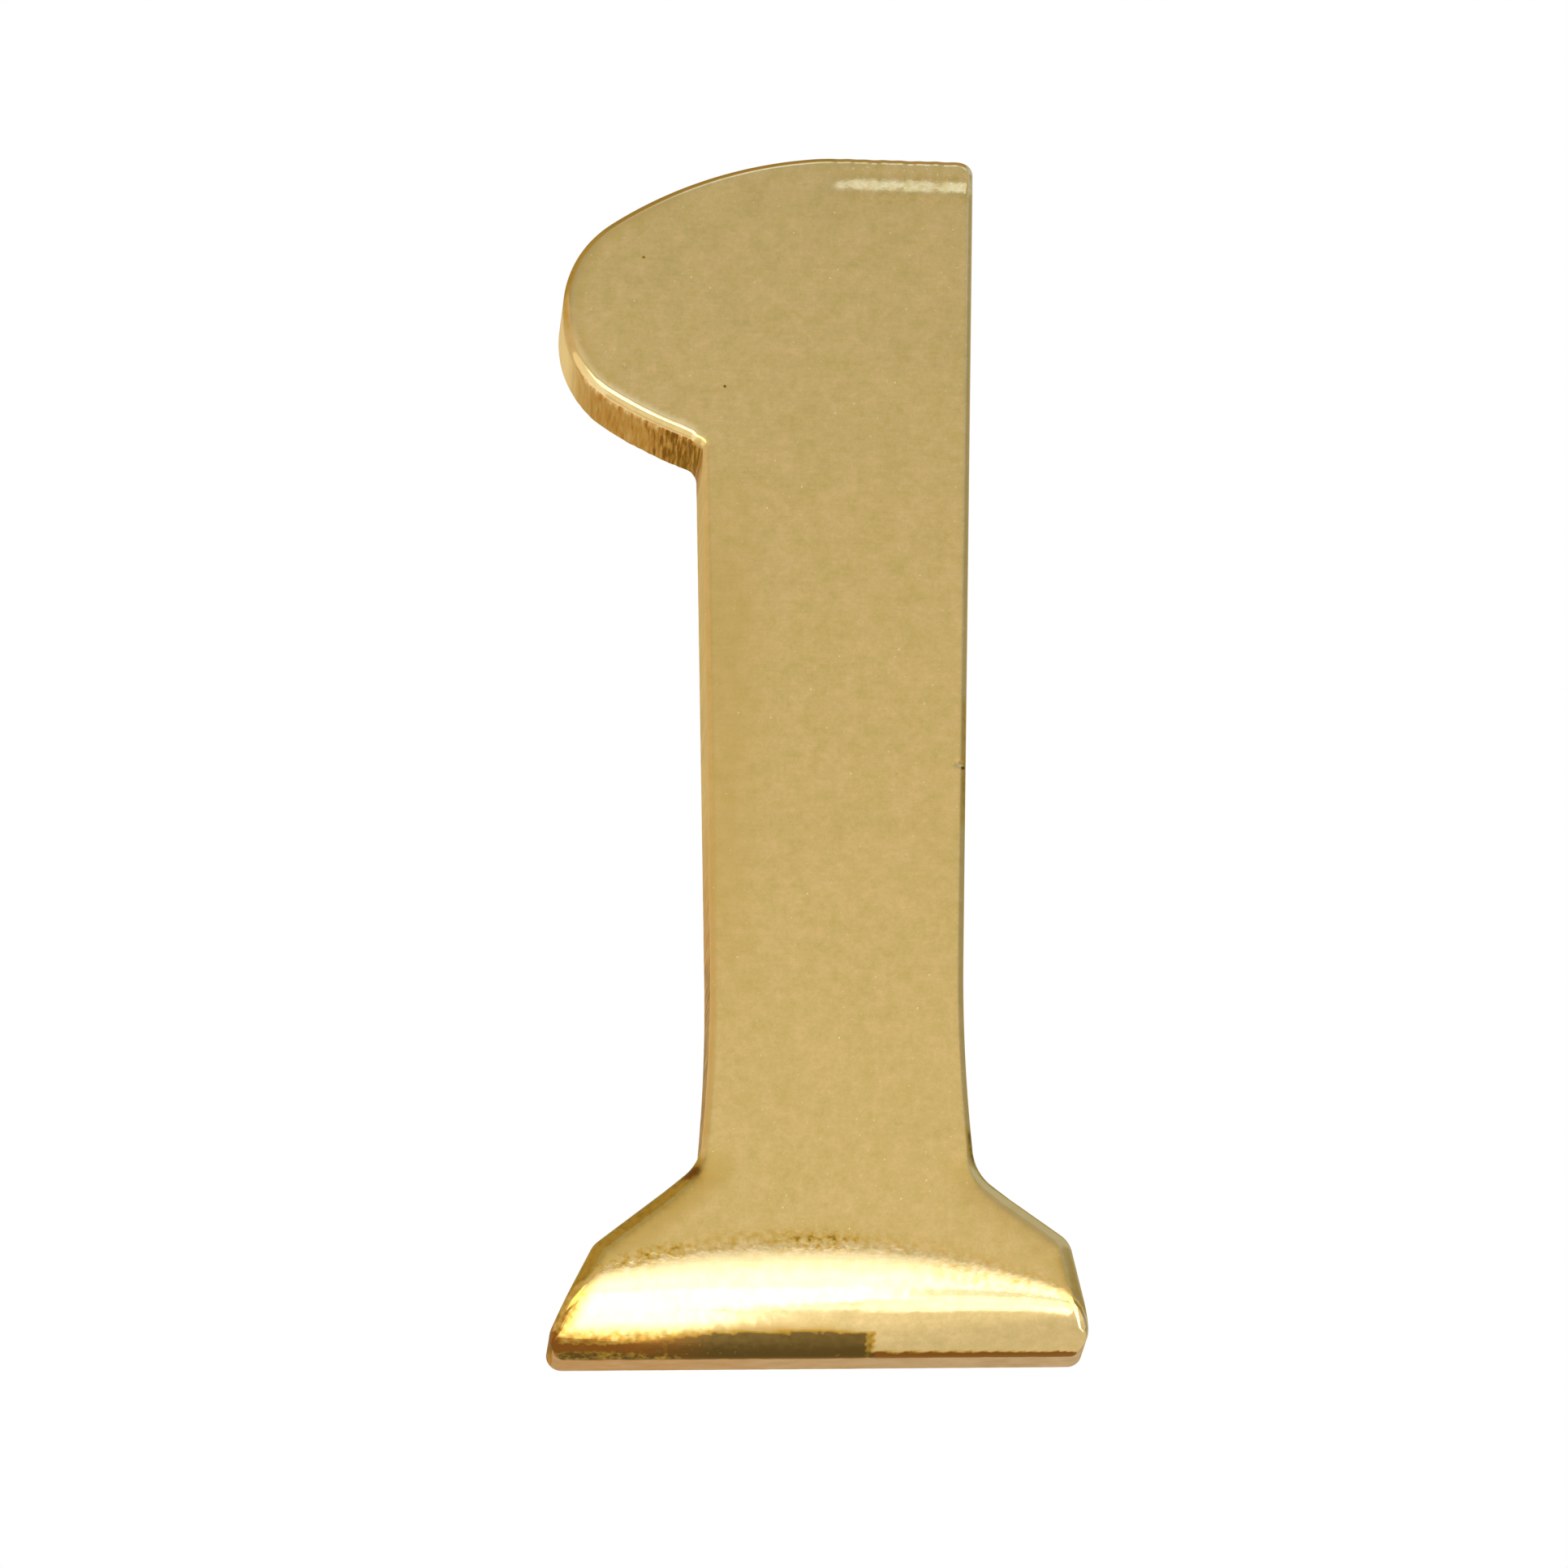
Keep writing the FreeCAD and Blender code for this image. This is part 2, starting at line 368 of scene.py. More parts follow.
def directions(loop):
    """Unit direction along a closed loop at each of its points."""
    along = np.roll(loop, -1, 0) - np.roll(loop, 1, 0)
    return along / np.linalg.norm(along, axis=1)[:, None]


def resample(points, step):
    """Even points on the smooth closed curve through the given points."""
    ahead = np.roll(points, -1, 0)
    chord = np.linalg.norm(ahead - points, axis=1)[:, None]
    tangents = directions(points)
    spans = []
    for t in np.linspace(0, 1, CURVE_STEPS, endpoint=False):
        leave = (t**3 - 2 * t**2 + t) * chord * tangents
        arrive = (t**3 - t**2) * chord * np.roll(tangents, -1, 0)
        spans.append(points + (3 * t**2 - 2 * t**3) * (ahead - points) + leave + arrive)
    curve = np.stack(spans, 1).reshape(-1, 2)
    curve = np.vstack([curve, curve[:1]])
    run = np.concatenate([[0], np.cumsum(np.linalg.norm(np.diff(curve, axis=0), axis=1))])
    places = np.linspace(0, run[-1], round(run[-1] / step), endpoint=False)
    return np.stack([np.interp(places, run, curve[:, k]) for k in (0, 1)], 1)


outline = resample(back_rim(frame["nodes"][NODE]), RIM_STEP)
outline = np.clip(outline, *(np.array(corner)[[0, 2]] / MM for corner in (low_corner, high_corner)))
outward = directions(outline)[:, ::-1] * (1, -1)
on_base = (outward[:, 1] < -STRAIGHT_DOWN) & (outline[:, 1] < 0)
base_slope, base_rise = np.polyfit(*outline[on_base].T, 1)
foot_arch = np.polyfit(ROLL_STATIONS, ROLL_HEIGHTS, 2)


class Roll:
    """An edge of the face rolled over to a given depth; direction is the side of the face it is on."""

    def __init__(self, direction, depth, edge, height):
        self.direction = direction
        self.drop = depth / (1 - math.cos(ROLL_TURN))
        self.edge = edge
        self.height = height

    def start(self, x):
        return self.edge(x) - self.direction * self.height(x)

    def reach(self, x):
        return self.height(x) / math.sin(ROLL_TURN)

    def along(self, x, z):
        """Place of a point on the roll as a share of its reach, below 0 where the face is still flat."""
        return self.direction * (z - self.start(x)) / self.reach(x)

    def turn(self, x, z):
        """Angle that the face has turned through at a point."""
        return np.arcsin(np.clip(self.along(x, z), 0, math.sin(ROLL_TURN)))

    def depth(self, x, z):
        return self.drop * (1 - np.cos(self.turn(x, z)))

    def gain(self, x, turn):
        """How much longer the roll is than its height, up to the given angle."""
        return self.direction * (self.drop * turn - self.reach(x) * np.sin(turn))

    def unfold(self, x, z):
        return z + self.gain(x, self.turn(x, z))

    def fold(self, x, run):
        turn = np.clip(self.direction * (run - self.start(x)) / self.drop, 0, ROLL_TURN)
        return run - self.gain(x, turn)


def foot_edge(x):
    return base_rise + base_slope * x


def foot_height(x):
    return np.polyval(foot_arch, x)


foot_roll = Roll(-1, thickness - LIP_DEPTH, foot_edge, foot_height)


def fade(value, low, high):
    """Smooth step from 0 at low to 1 at high."""
    share = np.clip((value - low) / (high - low), 0, 1)
    return share * share * (3 - 2 * share)


def search_tree(points):
    tree = kdtree.KDTree(len(points))
    for index, point in enumerate(points):
        tree.insert((*point, 0), index)
    tree.balance()
    return tree


outline_tree = search_tree(outline)


def inset(x, z):
    """Distance of points from the outline."""
    return np.array([outline_tree.find((*point, 0))[2] for point in zip(x, z)])


def dent(x, z, place_x, place_z, radius):
    """A smooth dent: 1 in its middle and 0 from its radius on."""
    away = np.hypot(x - place_x, z - place_z) / radius
    return np.clip(1 - away**2, 0, 1) ** 1.5


def top_step(x, z):
    """Depth of the soft step along the flat top, which sags a little where it comes in."""
    come_in = fade(x, *TOP_STEP_LEFT)
    below = top_z - z - TOP_STEP_SAG * (1 - come_in)
    waves = [size * np.sin(2 * math.pi * turns * x + phase) for turns, phase, size in TOP_STEP_WAVES]
    return TOP_STEP_DEPTH * (1 + sum(waves)) * come_in * fade(below, *TOP_STEP_SPAN)


def on_shoulder(z):
    return np.interp(z, SHOULDER_HEIGHTS, (0, 1, 1, 0))


def relief(x, z):
    """Unevenness of the face, always into the metal."""
    waves = sum(np.sin(2 * math.pi * (a * x + b * z) + c) for a, b, c in BUFFING_WAVES)
    depth = BUFFING_DEPTH * (1 + waves / len(BUFFING_WAVES)) / 2
    depth = depth + SHOULDER_DEPTH * on_shoulder(z) * np.clip(1 - inset(x, z) / SHOULDER_WIDTH, 0, 1) ** 2
    for pit_x, pit_z, radius, pit_depth, _ in PITS:
        depth = depth + pit_depth * dent(x, z, pit_x, pit_z, radius)
    *nick, nick_depth = NICK
    return depth + nick_depth * dent(x, z, *nick)


def face_y(x, z):
    return -thickness + foot_roll.depth(x, z) + top_step(x, z) + relief(x, z)


def unfold(plane):
    return np.stack([plane[:, 0], foot_roll.unfold(*plane.T)], 1)


def fold(flat):
    return np.stack([flat[:, 0], foot_roll.fold(*flat.T)], 1)


def in_space(plane, y):
    return np.stack([plane[:, 0], np.broadcast_to(y, len(plane)), plane[:, 1]], 1)


heading = np.degrees(np.arctan2(outward[:, 1], outward[:, 0])) % 360
on_flag = np.interp(outline[:, 1], NOTCH_SPAN, (0, 1)) * (outline[:, 0] < 0)


def under_flag(headings):
    """Share of something that grows round the nose between two headings and ends in the notch."""
    return np.interp(heading, headings, (0, 1)) * on_flag


def lean():
    """How far the front edge stands out from the back edge at each point of the outline."""
    x, z = outline.T
    leaning = np.interp(heading, LEAN_HEADINGS, (0, 1, 1, 0)) * np.interp(z, LEAN_HEIGHTS, (0, 1))
    return FLAG_LEAN * leaning * (x < 0)


def rounding():
    """Radius of the front edge at each point of the outline."""
    x, z = outline.T
    radius = np.interp(z, FOOT_ROUND_SPAN, (FOOT_ROUND, EDGE_ROUND))
    radius = radius + (FLAG_UNDER_ROUND - EDGE_ROUND) * under_flag(NOSE_SPAN)
    lip = foot_roll.turn(x, z) / ROLL_TURN
    radius = radius + (LIP_ROUND - radius) * lip
    down = np.clip(-outward[:, 1], 0, 1) * (z < FOOT_ROUND_SPAN[0])
    return radius + (CREASE_ROUND - radius) * np.clip(down / CREASE_FACING, 0, 1)


def before_crease(x, turn):
    """1 up to where the dark band ends, short of the lip on the left."""
    last = np.interp(x, BAND_X, BAND_LAST_TURN)
    return fade(turn, last + BAND_LAST_FADE, last - BAND_LAST_FADE)


def band_and_crease_shade(x, turn):
    """Painted shade on the lower roll: the dark band on the left, a painted dark reflection, and the crease
    all along the lip.
    """
    start = np.interp(x, BAND_X, BAND_TURN)
    band = fade(turn, start - BAND_START_FADE, start + BAND_START_FADE) * before_crease(x, turn)
    band = band * fade(x, BAND_END_X, BAND_END_X - BAND_END_WIDTH) * np.interp(x, BAND_X, BAND_STRENGTH)
    crease_start = np.interp(x, BAND_X, CREASE_TURN)
    crease = fade(turn, crease_start, crease_start + CREASE_WIDTH)
    return np.maximum(band, crease * np.interp(x, BAND_X, CREASE_STRENGTH))


# A brown spot of the given strength, darkest in its middle.
def brown_spot(x, z, place_x, place_z, radius, strength):
    return strength * dent(x, z, place_x, place_z, radius)


def edge_shade(x, z, away):
    """Painted shade along the shoulders, the foot ends, the left of the flag and stretches of the edge."""
    side = np.where(x < 0, 0, 1)
    found = np.array(SHOULDER_SHADE)[side] * on_shoulder(z) * np.clip(1 - away / SHOULDER_WIDTH, 0, 1)
    ends = np.array(FOOT_END_SHADE)[side] * fade(away, *FOOT_END_REACH) * fade(z, *FOOT_END_HEIGHTS)
    flag = FLAG_EDGE_SHADE * fade(x, *FLAG_EDGE_SHADE_X) * fade(z, *FLAG_EDGE_SHADE_HEIGHTS)
    flag = flag * np.clip(1 - away / FLAG_EDGE_SHADE_WIDTH, 0, 1)
    found = np.maximum(found, np.maximum(ends, flag))
    for shade_side, low, high, strength in EDGE_SHADES:
        reach = fade(z, low - EDGE_SHADE_FADE, low) * fade(z, high + EDGE_SHADE_FADE, high)
        near = fade(away, *EDGE_SHADE_REACH) * (np.sign(x) == shade_side)
        found = np.maximum(found, strength * reach * near)
    return found


# Tarnish of the face, with painted shade from the dark band, the crease and the edges.
def face_tarnish_and_shade(x, z):
    away = inset(x, z)
    along = foot_roll.along(x, z)
    turn = np.degrees(foot_roll.turn(x, z))
    edges = edge_shade(x, z, away) * (1 - fade(along, *RIGHT_EDGE_END) * (x > 0))
    found = np.maximum(band_and_crease_shade(x, turn), edges)
    warm, heights, reach = WARM_PATCH
    found = np.maximum(found, warm * np.interp(z, heights, (0, 1, 1, 0)) * fade(x, *reach))
    for place in (JUNCTION_SPOT, CORNER_SPOT):
        found = np.maximum(found, brown_spot(x, z, *place))
    for pit_x, pit_z, radius, _, tarnish_and_shade in PITS:
        found = np.maximum(found, tarnish_and_shade * dent(x, z, pit_x, pit_z, radius))
    return found


def face_looks(plane, edge_polish=0):
    """Tarnish and painted shade, polish, flecks and redness of points on the front."""
    x, z = plane.T
    along = foot_roll.along(x, z)
    polish_and_painted_sheen = np.maximum(fade(along, *POLISH_START), edge_polish)
    place, width = START_LINE
    flecks = np.exp(-(((along - place) / width) ** 2)) * np.interp(x, FLECK_X, FLECK_STRENGTH)
    frost_place, frost_width = FROST_LINE
    frost = np.exp(-(((along - frost_place) / frost_width) ** 2)) * fade(x, *FROST_X)
    flecks = np.maximum(flecks, FROST_STRENGTH * frost)
    below = top_z - z
    on_step = fade(below, *TOP_FLECKS_LOW) * fade(below, *TOP_FLECKS_HIGH) * fade(x, *TOP_STEP_LEFT)
    flecks = flecks + TOP_FLECKS * on_step
    # Redness of the dark band, part of its painted dark reflection, and of the brown spot where the stem
    # meets the foot.
    redness = np.interp(x, BAND_X, BAND_REDNESS) * before_crease(x, np.degrees(foot_roll.turn(x, z)))
    redness = redness * fade(along, *REDNESS_START) + brown_spot(x, z, *JUNCTION_SPOT)
    return np.stack([face_tarnish_and_shade(x, z), polish_and_painted_sheen, flecks, np.clip(redness, 0, 1)], 1)


# Looks stored with the points of the mesh, and finishes of its faces in the order of their materials.
LOOKS = ("tarnish_and_shade", "polish_and_painted_sheen", "flecks", "redness")
BUFFED, FILED, LIP, LINISHED, TAPPED = range(5)


class Skin:
    """The points and faces of a mesh, with the looks of each point and the finish of each face."""

    def __init__(self):
        self.points = []
        self.looks = []
        self.faces = []
        self.finishes = []

    def add(self, points, looks=0):
        first = len(self.points)
        self.points.extend(points)
        self.looks.extend(np.broadcast_to(looks, (len(points), len(LOOKS))))
        return np.arange(first, len(self.points))

    def face(self, corners, finish):
        self.faces.append([int(corner) for corner in corners])
        self.finishes.append(finish)

    def strip(self, front, back, finishes):
        """Faces between two closed loops; finishes holds one for each step along the loops."""
        steps = zip(front, back, np.roll(back, -1), np.roll(front, -1), finishes)
        for *corners, finish in steps:
            self.face(corners, finish)


def grid_within(loop, step):
    """Staggered points that fill a loop, kept a little way off it."""
    ahead = np.roll(loop, -1, 0)
    tree = search_tree(loop)
    found = []
    rows = np.arange(loop[:, 1].min(), loop[:, 1].max(), step * math.sin(math.pi / 3))
    for number, level in enumerate(rows):
        crossing = (loop[:, 1] <= level) != (ahead[:, 1] <= level)
        a, b = loop[crossing], ahead[crossing]
        ends = np.sort(a[:, 0] + (level - a[:, 1]) / (b[:, 1] - a[:, 1]) * (b[:, 0] - a[:, 0]))
        shift = number % 2 / 2
        for left, right in ends.reshape(-1, 2):
            places = np.arange(math.ceil(left / step - shift), right / step - shift) + shift
            found += [(place * step, level) for place in places]
    return np.array([point for point in found if tree.find((*point, 0))[2] > step * RIM_CLEARANCE])


def triangles(loops, inner):
    """Triangles over the inner points and out to the loops, as numbers of the points in that order."""
    edges = []
    first = 0
    for loop in loops:
        numbers = np.arange(first, first + len(loop))
        edges += list(zip(numbers.tolist(), np.roll(numbers, -1).tolist()))
        first += len(loop)
    flat = [Vector(point) for point in np.vstack([*loops, inner])]
    made = geometry.delaunay_2d_cdt(flat, edges, [], 1, SAME)
    source = [origin[0] for origin in made[3]]
    return [[source[corner] for corner in face] for face in made[2]]


def clear_of(points, places):
    """Points that lie outside every circle, given as x, z and radius."""
    for x, z, radius in places:
        points = points[np.hypot(points[:, 0] - x, points[:, 1] - z) > radius]
    return points


def circle(x, z, radius, sides):
    turns = np.arange(sides) * 2 * math.pi / sides
    return np.stack([x + radius * np.cos(turns), z + radius * np.sin(turns)], 1)


def flag_wall_tarnish_and_shade():
    """Tarnish under the flag at each point of the outline, with painted shade that makes it heavier towards
    the notch.
    """
    tarnish_and_shade = UNDER_FLAG_TARNISH + NOTCH_SHADE * fade(outline[:, 0], *NOTCH_SHADE_X)
    return under_flag(UNDER_FLAG_HEADINGS) * tarnish_and_shade


def build_front(skin):
    """The face and its rounded edge; returns the loop where the edge meets the walls and its y."""
    radius = rounding()
    edge = outline + outward * lean()[:, None]
    loops = []
    for angle in np.linspace(0, math.pi / 2, ROUND_RINGS + 1):
        plane = edge - outward * (radius * (1 - math.sin(angle)))[:, None]
        sink = radius * (1 - math.cos(angle)) / np.cos(foot_roll.turn(*plane.T))
        loops.append((plane, face_y(*plane.T) + sink))
    rim = unfold(loops[0][0])
    inner = fold(grid_within(rim, FACE_STEP))
    inner = clear_of(inner, [(x, z, size * PIT_CLEARANCE) for x, z, size, *_ in PITS])
    for x, z, size, *_ in PITS:
        rings = [circle(x, z, size * ring, PIT_SIDES if ring else 1) for ring in PIT_RINGS]
        inner = np.vstack([inner, *rings])
    edge_polish = under_flag(NOSE_SPAN)
    # Tarnish of the walls under the flag, with its painted shade towards the notch, also laid on the outer
    # rings of the rounded edge.
    flag_tarnish_and_shade = flag_wall_tarnish_and_shade()[:, None] * (1, 0, 0, 0)
    numbers = []
    for ring, (plane, y) in enumerate(loops):
        looks = face_looks(plane, edge_polish)
        numbers.append(skin.add(in_space(plane, y), looks + flag_tarnish_and_shade * (ring > FILED_RING)))
    face = np.concatenate([numbers[0], skin.add(in_space(inner, face_y(*inner.T)), face_looks(inner))])
    for triangle in triangles([rim], unfold(inner)):
        skin.face(face[triangle], BUFFED)
    filed = under_flag(UNDER_FLAG_HEADINGS) > 0.5
    for ring, (front, back) in enumerate(zip(numbers, numbers[1:])):
        skin.strip(front, back, np.where(filed & (ring >= FILED_RING), FILED, BUFFED))
    return numbers[-1], loops[-1][1]


def file_marks():
    """Depth of the marks that filing left along the outline, one value a point."""
    rng = np.random.default_rng(FILE_MARK_SEED)
    along = np.arange(len(outline)) * RIM_STEP
    strength = FILE_MARK_DEPTH + FLAG_MARK_DEPTH * under_flag(UNDER_FLAG_HEADINGS)
    marks = np.zeros(len(outline))
    for spacing, share in FILE_MARKS:
        knots = np.arange(0, along[-1] + spacing, spacing)
        marks += share * np.interp(along, knots, rng.random(len(knots)))
    return strength * marks


def wall_tarnish_and_shade(base):
    """Tarnish and painted shade of the walls at each point of the outline."""
    x, z = outline.T
    flag = flag_wall_tarnish_and_shade()
    stem = STEM_WALL_TARNISH * fade(z, *STEM_WALL_HEIGHTS) * (outward[:, 0] < -FACING)
    lip = LIP_TARNISH * base * fade(x, *LIP_TARNISH_X)
    found = np.maximum(np.maximum(flag, stem), lip)
    for place in (JUNCTION_SPOT, NOTCH_SHADE_SPOT, CORNER_SPOT):
        found = np.maximum(found, brown_spot(x, z, *place))
    return found


def build_walls(skin, edge, edge_y):
    """Walls from the rounded edge to the back, with a small chamfer; returns the rim of the back face."""
    marks = file_marks()
    front_lean = lean()
    base = (outward[:, 1] < -FACING) & (outline[:, 1] < FOOT_ROUND_SPAN[0])
    finishes = np.where(base, LIP, FILED)
    # The wall round the nose is painted paler, a painted highlight, carried in the second look.
    painted_pale = np.interp(heading, PAINTED_PALE_NOSE, (0, 1, 1, 0)) * on_flag
    looks = np.stack([wall_tarnish_and_shade(base), painted_pale, 0 * painted_pale, 0 * painted_pale], 1)
    above = edge
    for row in range(1, WALL_ROWS + 1):
        share = row / WALL_ROWS
        shift = front_lean * (1 - share) - marks * min(1, share / FILE_MARK_START)
        plane = outline + outward * shift[:, None]
        y = edge_y + (-BACK_CHAMFER - edge_y) * share
        below = skin.add(in_space(plane, y), looks)
        skin.strip(above, below, finishes)
        above = below
    rim = outline - outward * (marks + BACK_CHAMFER)[:, None]
    numbers = skin.add(in_space(rim, 0))
    skin.strip(above, numbers, np.full(len(outline), LINISHED))
    return numbers, rim


def build_hole(skin, z):
    """A blind tapped hole; returns its mouth on the back face."""
    turns = np.arange(HOLE_SIDES) / HOLE_SIDES
    loops = []
    for y in np.linspace(0, -STUD_DEPTH, THREAD_ROWS + 1):
        phase = (y / THREAD_PITCH + turns) % 1
        groove = np.clip(THREAD_SLOPE * (1 - np.abs(2 * phase - 1)) - THREAD_FLAT, 0, 1)
        groove *= np.clip((STUD_DEPTH + y) / THREAD_LEAD, 0, 1)
        radius = np.maximum(drill_radius + THREAD_DEPTH * groove, MOUTH_RADIUS + y)
        plane = circle(0, z, radius, HOLE_SIDES)
        loops.append((plane, skin.add(in_space(plane, y))))
    for (_, front), (_, back) in zip(loops, loops[1:]):
        skin.strip(front, back, np.full(HOLE_SIDES, TAPPED))
    tip_y = -STUD_DEPTH - drill_radius / math.tan(DRILL_POINT_ANGLE / 2)
    tip = skin.add([(0, tip_y, z)])[0]
    last = loops[-1][1]
    for a, b in zip(last, np.roll(last, -1)):
        skin.face((a, tip, b), TAPPED)
    return loops[0]


def build_back(skin, rim_numbers, rim):
    """The flat back, open at the stud holes."""
    holes = [build_hole(skin, z) for z in stud_heights]
    inner = grid_within(rim, BACK_STEP)
    inner = clear_of(inner, [(0, z, MOUTH_RADIUS * HOLE_CLEARANCE) for z in stud_heights])
    numbers = [rim_numbers, *(hole[1] for hole in holes), skin.add(in_space(inner, 0))]
    numbers = np.concatenate(numbers)
    flat = np.vstack([rim, *(hole[0] for hole in holes), inner])
    for triangle in triangles([rim, *(hole[0] for hole in holes)], inner):
        middle = flat[triangle].mean(0)[None]
        if len(clear_of(middle, [(0, z, MOUTH_RADIUS * HOLE_INSIDE) for z in stud_heights])):
            skin.face(numbers[triangle][::-1], LINISHED)


# The part of a noise value that is spread over a range.
NOISE_MIDDLE = (0.3, 0.7)

# Tarnish and painted shade between which amber, brown and red-brown come in.
AMBER_SPAN = (0.0, 0.5)
BROWN_SPAN = (0.5, 1.0)
REDNESS_SPAN = (0.25, 0.75)

# Sockets of a mix node that hold colours: from, to and the result.
COLOUR_FROM, COLOUR_TO, COLOUR_MIXED = 6, 7, 2


class Finish:
    """A brass finish: its material, its shader and the noise that drives them."""

    def __init__(self, name):
        self.material = bpy.data.materials.new(name)
        self.material.use_nodes = True
        self.tree = self.material.node_tree
        self.shader = self.tree.nodes["Principled BSDF"]
        self.shader.inputs["Metallic"].default_value = 1
        self.place = self.tree.nodes.new("ShaderNodeTexCoord").outputs["Object"]

    def link(self, output, socket):
        self.tree.links.new(output, socket)

    def noise(self, grain, detail=2, harshness=0.5):
        """Noise with grains of the given size in millimetres along x, y and z."""
        mapping = self.tree.nodes.new("ShaderNodeMapping")
        mapping.inputs["Scale"].default_value = [1 / (size * MM) for size in grain]
        self.link(self.place, mapping.inputs["Vector"])
        node = self.tree.nodes.new("ShaderNodeTexNoise")
        node.inputs["Scale"].default_value = 1
        node.inputs["Detail"].default_value = detail
        node.inputs["Roughness"].default_value = harshness
        self.link(mapping.outputs["Vector"], node.inputs["Vector"])
        return node.outputs["Fac"]

    def map_range(self, value, source, target):
        """A value taken from one range to another."""
        node = self.tree.nodes.new("ShaderNodeMapRange")
        for socket, limit in zip(("From Min", "From Max", "To Min", "To Max"), (*source, *target)):
            node.inputs[socket].default_value = limit
        self.link(value, node.inputs["Value"])
        return node.outputs["Result"]

    def spread(self, value, low, high):
        """The middle of a noise value spread over a range."""
        return self.map_range(value, NOISE_MIDDLE, (low, high))

    def step(self, value, low, high):
        """A value taken from 0 at low to 1 at high."""
        return self.map_range(value, (low, high), (0, 1))

    def look(self, name):
        """One of the looks stored with the points of the mesh."""
        node = self.tree.nodes.new("ShaderNodeAttribute")
        node.attribute_name = name
        return node.outputs["Fac"]

    def combine(self, operation, a, b):
        node = self.tree.nodes.new("ShaderNodeMath")
        node.operation = operation
        self.link(a, node.inputs[0])
        self.link(b, node.inputs[1])
        return node.outputs["Value"]

    def ramp(self, value, low, high):
        """Colours spread over the middle of a noise value."""
        node = self.tree.nodes.new("ShaderNodeValToRGB")
        node.color_ramp.elements[0].position = NOISE_MIDDLE[0]
        node.color_ramp.elements[0].color = (*low, 1)
        node.color_ramp.elements[1].position = NOISE_MIDDLE[1]
        node.color_ramp.elements[1].color = (*high, 1)
        self.link(value, node.inputs["Fac"])
        return node.outputs["Color"]

    def colour_mix(self, share, colour):
        """A node that takes an uneven colour to another by a share."""
        node = self.tree.nodes.new("ShaderNodeMix")
        node.data_type = "RGBA"
        self.link(share, node.inputs["Factor"])
        self.link(colour, node.inputs[COLOUR_FROM])
        return node

    def over(self, colour, share, plain):
        """A colour that goes over to a plain one by a share."""
        node = self.colour_mix(share, colour)
        node.inputs[COLOUR_TO].default_value = (*plain, 1)
        return node.outputs[COLOUR_MIXED]

    def blend(self, share, colour, other):
        """A colour that goes over to another uneven one by a share."""
        node = self.colour_mix(share, colour)
        self.link(other, node.inputs[COLOUR_TO])
        return node.outputs[COLOUR_MIXED]

    def between(self, share, low, high):
        """A value that goes from one to another by a share."""
        node = self.tree.nodes.new("ShaderNodeMix")
        self.link(share, node.inputs["Factor"])
        self.link(low, node.inputs["A"])
        self.link(high, node.inputs["B"])
        return node.outputs["Result"]

    def tarnish_and_shade(self, uneven):
        """The tarnish and painted shade of the mesh, broken up by a noise value."""
        return self.combine("MULTIPLY", self.look("tarnish_and_shade"), uneven)

    def lay_tarnish_and_shade(self, colour, tarnish_and_shade, amber, brown):
        """Lays amber, brown and red-brown tarnish and painted shade over a colour; returns how brown it is.
        """
        share = self.step(tarnish_and_shade, *BROWN_SPAN)
        colour = self.over(colour, self.step(tarnish_and_shade, *AMBER_SPAN), amber)
        redness = self.combine("MULTIPLY", self.look("redness"), self.step(tarnish_and_shade, *REDNESS_SPAN))
        colour = self.over(self.over(colour, share, brown), redness, RED_BROWN)
        self.link(colour, self.shader.inputs["Base Color"])
        return share

    def roughness(self, value):
        self.link(value, self.shader.inputs["Roughness"])

    def bump(self, *layers):
        """Layers of height: a noise, its depth in millimetres and, for some, a look that scales it."""
        normal = None
        for height, depth, *scale in layers:
            node = self.tree.nodes.new("ShaderNodeBump")
            node.inputs["Distance"].default_value = depth * MM
            self.link(height, node.inputs["Height"])
            if scale:
                self.link(*scale, node.inputs["Strength"])
            if normal:
                self.link(normal, node.inputs["Normal"])
            normal = node.outputs["Normal"]
        self.link(normal, self.shader.inputs["Normal"])


# Colours of the tarnish and painted shade on the face and on the walls, and of bare bright specks; PALE
# also paints the wall round the nose paler, a painted highlight.
AMBER = (0.47, 0.285, 0.048)
BROWN = (0.091, 0.057, 0.016)
RED_BROWN = (0.190, 0.072, 0.0135)
WALL_AMBER = (0.50, 0.245, 0.060)
WALL_BROWN = (0.19, 0.080, 0.018)
PALE = (0.76, 0.60, 0.32)


